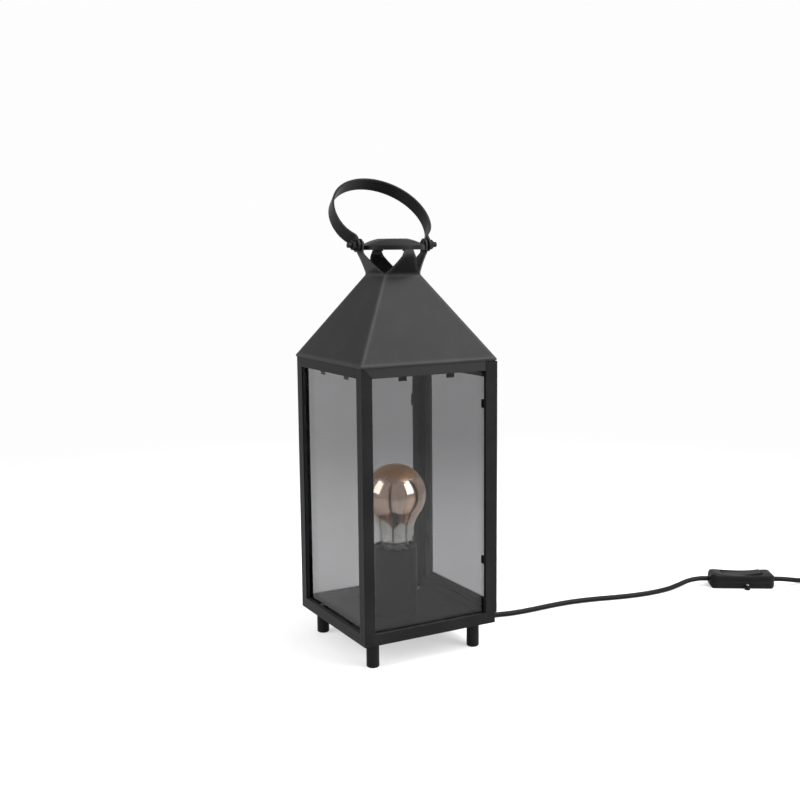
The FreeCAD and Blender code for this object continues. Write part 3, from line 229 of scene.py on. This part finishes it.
amberGlass = {"neck": (0.95, 0.95, 0.93), "globe": (1.0, 0.86, 0.74), "crown": (0.34, 0.17, 0.08),
              "neckShine": (0.97, 0.97, 0.96), "globeShine": (1.0, 0.89, 0.79),
              "crownShine": (0.60, 0.32, 0.15), "globeRange": (0.112, 0.128),
              "crownRange": (0.1615, 0.1665), "cloud": (60, 3, 0.5), "uneven": 0.012,
              "crownShare": 0.9, "crownDull": 0.6, "roughness": 0.08, "crownRough": 0.25,
              "straight": 0.42, "globeGloss": 0.08, "crownGloss": 0.5}


def bulbMaterial(name, look):
    # amber inside coat on the globe, a browner crown, clear glass at the neck
    material, here = newMaterial(name)
    where = objectPlace(here)
    cloud = noise(here, where, *look["cloud"])
    height = heightOf(here, where) + (cloud - 0.5) * look["uneven"]
    globe = spread(here, height, *look["globeRange"])
    crown = spread(here, height, *look["crownRange"])
    tint = mixColour(here, globe, look["neck"], look["globe"])
    tint = mixColour(here, crown * look["crownShare"], tint, look["crown"])
    shine = mixColour(here, globe, look["neckShine"], look["globeShine"])
    shine = mixColour(here, crown, shine, look["crownShine"])
    mirror = principled(here, {"Base Color": shine, "Metallic": 1 - crown * look["crownDull"],
                               "Roughness": look["roughness"] + crown * look["crownRough"]})
    mirrored = (gloss(here, look["straight"]) + globe * look["globeGloss"]
                + crown * cloud * look["crownGloss"])
    output(here, glassBody(here, mirrored, tint, mirror))
    return material


stemGlass = {"tint": (0.93, 0.92, 0.89), "sheen": (0.8, 0.79, 0.76), "roughness": 0.05,
             "straight": 0.2, "seeds": (240, 2, 0.5), "relief": 0.3, "reliefDepth": 0.0004}


def stemMaterial(name, look):
    # clear glass with small seeds in it
    material, here = newMaterial(name)
    seeds = noise(here, objectPlace(here), *look["seeds"])
    sheen = principled(here, {"Base Color": look["sheen"], "Roughness": look["roughness"],
                              "Normal": bump(here, seeds, look["relief"], look["reliefDepth"])})
    output(here, glassBody(here, gloss(here, look["straight"]), look["tint"], sheen))
    return material


bareMetal = {"cloud": (160, 4, 0.6), "cloudRange": (0.35, 0.7), "cloudRough": 0.2,
             "edge": 0.00025, "relief": 0.25, "reliefDepth": 0.00004}
zincSteel = {**bareMetal, "colour": (0.52, 0.52, 0.51), "darker": (0.36, 0.36, 0.36),
             "roughness": 0.34, "fine": (900, 2, 0.5)}
brassParts = {**bareMetal, "colour": (0.76, 0.58, 0.29), "darker": (0.55, 0.40, 0.18),
              "roughness": 0.30, "fine": (900, 2, 0.5)}
bulbCapMetal = {**bareMetal, "colour": (0.74, 0.73, 0.70), "darker": (0.52, 0.51, 0.48),
                "roughness": 0.28, "fine": (1200, 2, 0.5)}
magnetPlating = {**bareMetal, "colour": (0.68, 0.68, 0.69), "darker": (0.58, 0.58, 0.59),
                 "roughness": 0.16, "fine": (700, 2, 0.5)}


def metalMaterial(name, look):
    # bare metal, darker in clouds, with a fine grain
    material, here = newMaterial(name)
    where = objectPlace(here)
    cloud = noise(here, where, *look["cloud"])
    fine = noise(here, where, *look["fine"])
    edge = softEdge(here, look["edge"])
    shade = mixColour(here, spread(here, cloud, *look["cloudRange"]), look["colour"], look["darker"])
    rough = look["roughness"] + (cloud - 0.5) * look["cloudRough"]
    normal = bump(here, fine, look["relief"], look["reliefDepth"], edge)
    output(here, principled(here, {"Base Color": shade, "Metallic": 1.0, "Roughness": rough,
                                   "Normal": normal}))
    return material


moulded = {"cloud": (45, 4, 0.6), "cloudRange": (0.4, 0.8), "cloudShare": 0.6, "cloudRough": 0.14,
           "scuff": (130, 4, 0.7), "scuffRange": (0.45, 0.7), "cornerRange": (0.03, 0.25),
           "rubShare": 0.4, "rubPaler": 2.2, "rubSmooth": 0.1, "specular": 0.05, "relief": 0.4}
blackPlastic = {**moulded, "colour": (0.006, 0.006, 0.0065), "paler": (0.011, 0.011, 0.0115),
                "roughness": 0.38, "grainScale": 1500, "reliefDepth": 0.00001, "edge": 0.0025}
cordJacket = {**moulded, "colour": (0.006, 0.006, 0.0065), "paler": (0.012, 0.012, 0.0125),
              "roughness": 0.42, "grainScale": 1100, "reliefDepth": 0.00001, "edge": 0.0002}
sealRubber = {**moulded, "colour": (0.014, 0.014, 0.014), "paler": (0.03, 0.03, 0.03),
              "roughness": 0.72, "grainScale": 1300, "reliefDepth": 0.00005, "edge": 0.0003}


def plasticMaterial(name, look):
    # moulded plastic or rubber: spark-eroded grain, soft edges, a little dust
    material, here = newMaterial(name)
    where = objectPlace(here)
    cloud = noise(here, where, *look["cloud"])
    scuff = noise(here, where, *look["scuff"])
    cells = here.node("ShaderNodeTexVoronoi", {"Vector": where, "Scale": look["grainScale"]},
                      "Distance", feature="F1")
    edge = softEdge(here, look["edge"])
    rub = edgeMask(here, edge, *look["cornerRange"]) * spread(here, scuff, *look["scuffRange"])
    clouded = spread(here, cloud, *look["cloudRange"], 0, look["cloudShare"])
    lighter = [look["rubPaler"] * value for value in look["paler"]]
    shade = mixColour(here, clouded, look["colour"], look["paler"])
    shade = mixColour(here, rub * look["rubShare"], shade, lighter)
    rough = look["roughness"] + (cloud - 0.5) * look["cloudRough"] - rub * look["rubSmooth"]
    normal = bump(here, cells, look["relief"], look["reliefDepth"], edge)
    output(here, principled(here, {"Base Color": shade, "Roughness": rough, "Normal": normal,
                                   "Specular IOR Level": look["specular"]}))
    return material


filamentCoat = {"colour": (0.86, 0.48, 0.22), "paler": (0.95, 0.68, 0.42), "bandTurning": 5200,
                "bandRange": (0.1, 1.2), "grain": (900, 2, 0.6), "roughness": 0.45,
                "grainRough": 0.15, "relief": 0.3, "reliefDepth": 0.0001}


def filamentMaterial(name, look):
    # phosphor coat in fine bands, one above the other
    material, here = newMaterial(name)
    where = objectPlace(here)
    bands = here.maths("SINE", heightOf(here, where) * look["bandTurning"])
    grain = noise(here, where, *look["grain"])
    banded = spread(here, bands + grain, *look["bandRange"])
    colour = mixColour(here, banded, look["colour"], look["paler"])
    output(here, principled(here, {"Base Color": colour,
                                   "Roughness": look["roughness"] + grain * look["grainRough"],
                                   "Normal": bump(here, grain, look["relief"], look["reliefDepth"])}))
    return material


slotFinish = {"black_steel": coatMaterial("satinCoat", satinCoat),
              "black_plastic": plasticMaterial("blackPlastic", blackPlastic),
              "cord_jacket": plasticMaterial("cordJacket", cordJacket),
              "smoked_glass": paneMaterial("smokedGlass", smokedGlass),
              "seal_rubber": plasticMaterial("sealRubber", sealRubber),
              "zinc_steel": metalMaterial("zincSteel", zincSteel),
              "brass_parts": metalMaterial("brassParts", brassParts),
              "amber_glass": bulbMaterial("amberGlass", amberGlass),
              "bulb_metal": metalMaterial("bulbCapMetal", bulbCapMetal),
              "stem_glass": stemMaterial("stemGlass", stemGlass),
              "filament_coat": filamentMaterial("filamentCoat", filamentCoat),
              "magnet_metal": metalMaterial("magnetPlating", magnetPlating)}
roofFinish = coatMaterial("roofCoat", roofCoat)
railFinish = coatMaterial("railCoat", railCoat)
for part in frame["record"]["subparts"]:
    mesh = nodes[part["node"]].data
    mesh.materials.clear()
    finish = slotFinish[part["material_slot"]]
    if part["node"] == "roof":
        finish = roofFinish
    elif part["node"].startswith("top_rail"):
        finish = railFinish
    mesh.materials.append(finish)
print("finishes set:", len(slotFinish))


cordLook = {"diameter": 0.0054, "lying": 0.0028, "length": 1.8, "roundSteps": 5, "pathSteps": 5,
            "coilCentre": (0.521, -0.121), "coilRadius": 0.040, "coilPitch": 0.0059,
            "coilTurning": 2310, "coilStart": 80, "coilCrossing": 0.25, "coilEnds": 0.012,
            "pointsPerTurn": 16, "plugPlace": (0.4890, -0.1752, 0.00705),
            "plugWay": (-0.94, -0.342, 0), "plugNeck": 0.013}


def coilPoint(turns, look):
    # two layers: the lower one winds in, the upper one winds out over it
    half = look["coilTurning"] / 720
    pitch = look["coilPitch"]
    crossing = look["coilCrossing"]
    inmost = look["coilRadius"] - pitch * (half - crossing / 2)
    if abs(turns) < crossing:
        radius = inmost + pitch * turns ** 2 / (2 * crossing)
        rise = 0.5 + turns / (2 * crossing)
    else:
        radius = inmost + pitch * (abs(turns) - crossing / 2)
        rise = 0 if turns < 0 else 1
    angle = math.radians(look["coilStart"] - 360 * (turns + half))
    x, y = look["coilCentre"]
    return Vector((x + radius * math.cos(angle), y + radius * math.sin(angle),
                   look["lying"] + pitch * rise))


def cordPoints(look):
    # out of the cover and over the floor, in and out of the switch, round the coil, to the plug
    low = look["lying"]
    half = look["coilTurning"] / 720
    count = round(2 * half * look["pointsPerTurn"])
    turns = [coilPoint(-half + 2 * half * index / count, look) for index in range(count + 1)]
    entering = (turns[1] - turns[0]).normalized()
    leaving = (turns[-1] - turns[-2]).normalized()
    plug = Vector(look["plugPlace"])
    neck = plug - Vector(look["plugWay"]) * look["plugNeck"]
    lead = [(0.045, 0, 0.0146), (0.059, 0, 0.0146), (0.078, 0.0003, 0.0100), (0.097, 0.0010, 0.0044),
            (0.1185, 0.0016, low), (0.1343, -0.0028, low), (0.1594, -0.0041, low),
            (0.1868, -0.0030, low), (0.2131, -0.0041, low), (0.2371, -0.0087, low),
            (0.2599, -0.0153, low), (0.2836, -0.0211, low), (0.3102, -0.0240, low),
            (0.3340, -0.0229, 0.0030), (0.3513, -0.0207, 0.0046), (0.3653, -0.0205, 0.0072),
            (0.37769, -0.02432, 0.0085), (0.38617, -0.02962, 0.0085)]
    run = [(0.44723, -0.06778, 0.0085), (0.45486, -0.07255, 0.0085), (0.4672, -0.0767, 0.0066),
           (0.4802, -0.0774, 0.0038), (0.4952, -0.0764, low)]
    before = turns[0] - entering * look["coilEnds"]
    after = turns[-1] + leaving * look["coilEnds"]
    return lead + run + [before] + turns + [after, neck, plug]


def makeCord(look):
    curve = bpy.data.curves.new("supplyCord", "CURVE")
    curve.dimensions = "3D"
    curve.bevel_depth = look["diameter"] / 2
    curve.bevel_resolution = look["roundSteps"]
    curve.resolution_u = look["pathSteps"]
    curve.use_fill_caps = True
    points = cordPoints(look)
    spline = curve.splines.new("NURBS")
    spline.points.add(len(points) - 1)
    for point, place in zip(spline.points, points):
        point.co = (*place, 1)
    spline.order_u = 3
    spline.use_endpoint_u = True
    cord = bpy.data.objects.new("supplyCord", curve)
    bpy.context.collection.objects.link(cord)
    cord.data.materials.append(slotFinish["cord_jacket"])
    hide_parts("cord_lead", "cord_run", "cord_coil", "cord_tail")
    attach(cord, "carcass")
    return cord


supplyCord = makeCord(cordLook)
print("cord laid:", len(supplyCord.data.splines[0].points), "points")


studio = {"floorHalf": 9.0, "backAt": 4.0, "sweep": 1.2, "sweepSteps": 16, "wallHeight": 5.0,
          "floorColour": (0.80, 0.80, 0.80), "floorRoughness": 0.9, "floorSpecular": 0.1,
          "backColour": (1, 1, 1), "backGlow": 0.985, "glowRange": (0.35, 1.25), "leastGlow": 0.5,
          "worldColour": (1.0, 1.0, 1.0), "worldStrength": 0.985}


def backdropMaterial(name, look):
    # paper that turns into plain white light further out
    material, here = newMaterial(name)
    paper = principled(here, {"Base Color": look["floorColour"], "Roughness": look["floorRoughness"],
                              "Specular IOR Level": look["floorSpecular"]})
    glow = here.node("ShaderNodeEmission", {"Color": look["backColour"], "Strength": look["backGlow"]})
    away = here.node("ShaderNodeVectorMath", {0: objectPlace(here)}, "Value", operation="LENGTH")
    glowing = spread(here, away, *look["glowRange"], look["leastGlow"], 1)
    output(here, mixShader(here, glowing, paper, glow))
    return material


def makeBackdrop(look):
    # a flat floor that sweeps up into a wall behind
    shape = bmesh.new()
    half = look["floorHalf"]
    back = look["backAt"]
    corners = [shape.verts.new((x, y, 0)) for x, y in
               ((-half, -half), (half, -half), (half, back), (-half, back))]
    shape.faces.new(corners)
    far = [side for side in shape.edges if all(end.co.y > 0 for end in side.verts)]
    turned = bmesh.ops.spin(shape, geom=far, cent=(0, back, look["sweep"]), axis=(1, 0, 0),
                            angle=math.radians(90), steps=look["sweepSteps"])
    last = [piece for piece in turned["geom_last"] if isinstance(piece, bmesh.types.BMEdge)]
    risen = bmesh.ops.extrude_edge_only(shape, edges=last)
    top = [piece for piece in risen["geom"] if isinstance(piece, bmesh.types.BMVert)]
    bmesh.ops.translate(shape, vec=(0, 0, look["wallHeight"]), verts=top)
    bmesh.ops.recalc_face_normals(shape, faces=shape.faces)
    mesh = bpy.data.meshes.new("paleFloor")
    shape.to_mesh(mesh)
    shape.free()
    mesh.shade_smooth()
    mesh.materials.append(backdropMaterial("paleFloor", look))
    floor = bpy.data.objects.new("paleFloor", mesh)
    bpy.context.collection.objects.link(floor)


def makeWorld(look):
    world = bpy.data.worlds.new("studioAir")
    bpy.context.scene.world = world
    world.use_nodes = True
    air = world.node_tree.nodes["Background"].inputs
    air["Color"].default_value = (*look["worldColour"], 1)
    air["Strength"].default_value = look["worldStrength"]


softboxes = {"softboxLeft": {"place": (-1.40, 0.35, 0.92), "target": (0, 0, 0.6),
                             "width": 0.8, "height": 1.2, "power": 26},
             "softboxRight": {"place": (0.80, -1.28, 0.92), "target": (0, 0, 0.6),
                              "width": 0.8, "height": 1.2, "power": 32},
             "softboxTop": {"place": (0.75, -0.60, 1.60), "target": (0, 0, 0.2),
                            "width": 1.0, "height": 1.0, "power": 44}}


def makeSoftbox(name, look):
    light = bpy.data.lights.new(name, "AREA")
    light.shape = "RECTANGLE"
    light.size = look["width"]
    light.size_y = look["height"]
    light.energy = look["power"]
    lamp = bpy.data.objects.new(name, light)
    bpy.context.collection.objects.link(lamp)
    lamp.location = look["place"]
    way = Vector(look["target"]) - Vector(look["place"])
    lamp.rotation_euler = way.to_track_quat("-Z", "Y").to_euler()


view = {"focal": 1102.4, "pictureWidth": 800, "sensor": 36, "place": (-0.4984, -0.9237, 0.3833),
        "yaw": -28.66, "pitch": 7.89, "roll": -0.555}


def makeCamera(look):
    # the focal length is in picture points, and the angles are in degrees
    yaw, pitch, roll = (math.radians(look[name]) for name in ("yaw", "pitch", "roll"))
    forward = Vector((-math.sin(yaw) * math.cos(pitch), math.cos(yaw) * math.cos(pitch),
                      -math.sin(pitch)))
    level = Vector((math.cos(yaw), math.sin(yaw), 0))
    upward = level.cross(forward)
    right = level * math.cos(roll) + upward * math.sin(roll)
    top = upward * math.cos(roll) - level * math.sin(roll)
    lens = bpy.data.cameras.new("photoCamera")
    lens.sensor_width = look["sensor"]
    lens.lens = look["focal"] / look["pictureWidth"] * look["sensor"]
    camera = bpy.data.objects.new("photoCamera", lens)
    bpy.context.collection.objects.link(camera)
    turn = Matrix((right, top, -forward)).transposed()
    camera.matrix_world = Matrix.Translation(look["place"]) @ turn.to_4x4()
    bpy.context.scene.camera = camera


makeBackdrop(studio)
makeWorld(studio)
for boxName, boxLook in softboxes.items():
    makeSoftbox(boxName, boxLook)
makeCamera(view)
bpy.context.scene.view_settings.view_transform = "Standard"
print("studio set")

bpy.context.view_layer.update()
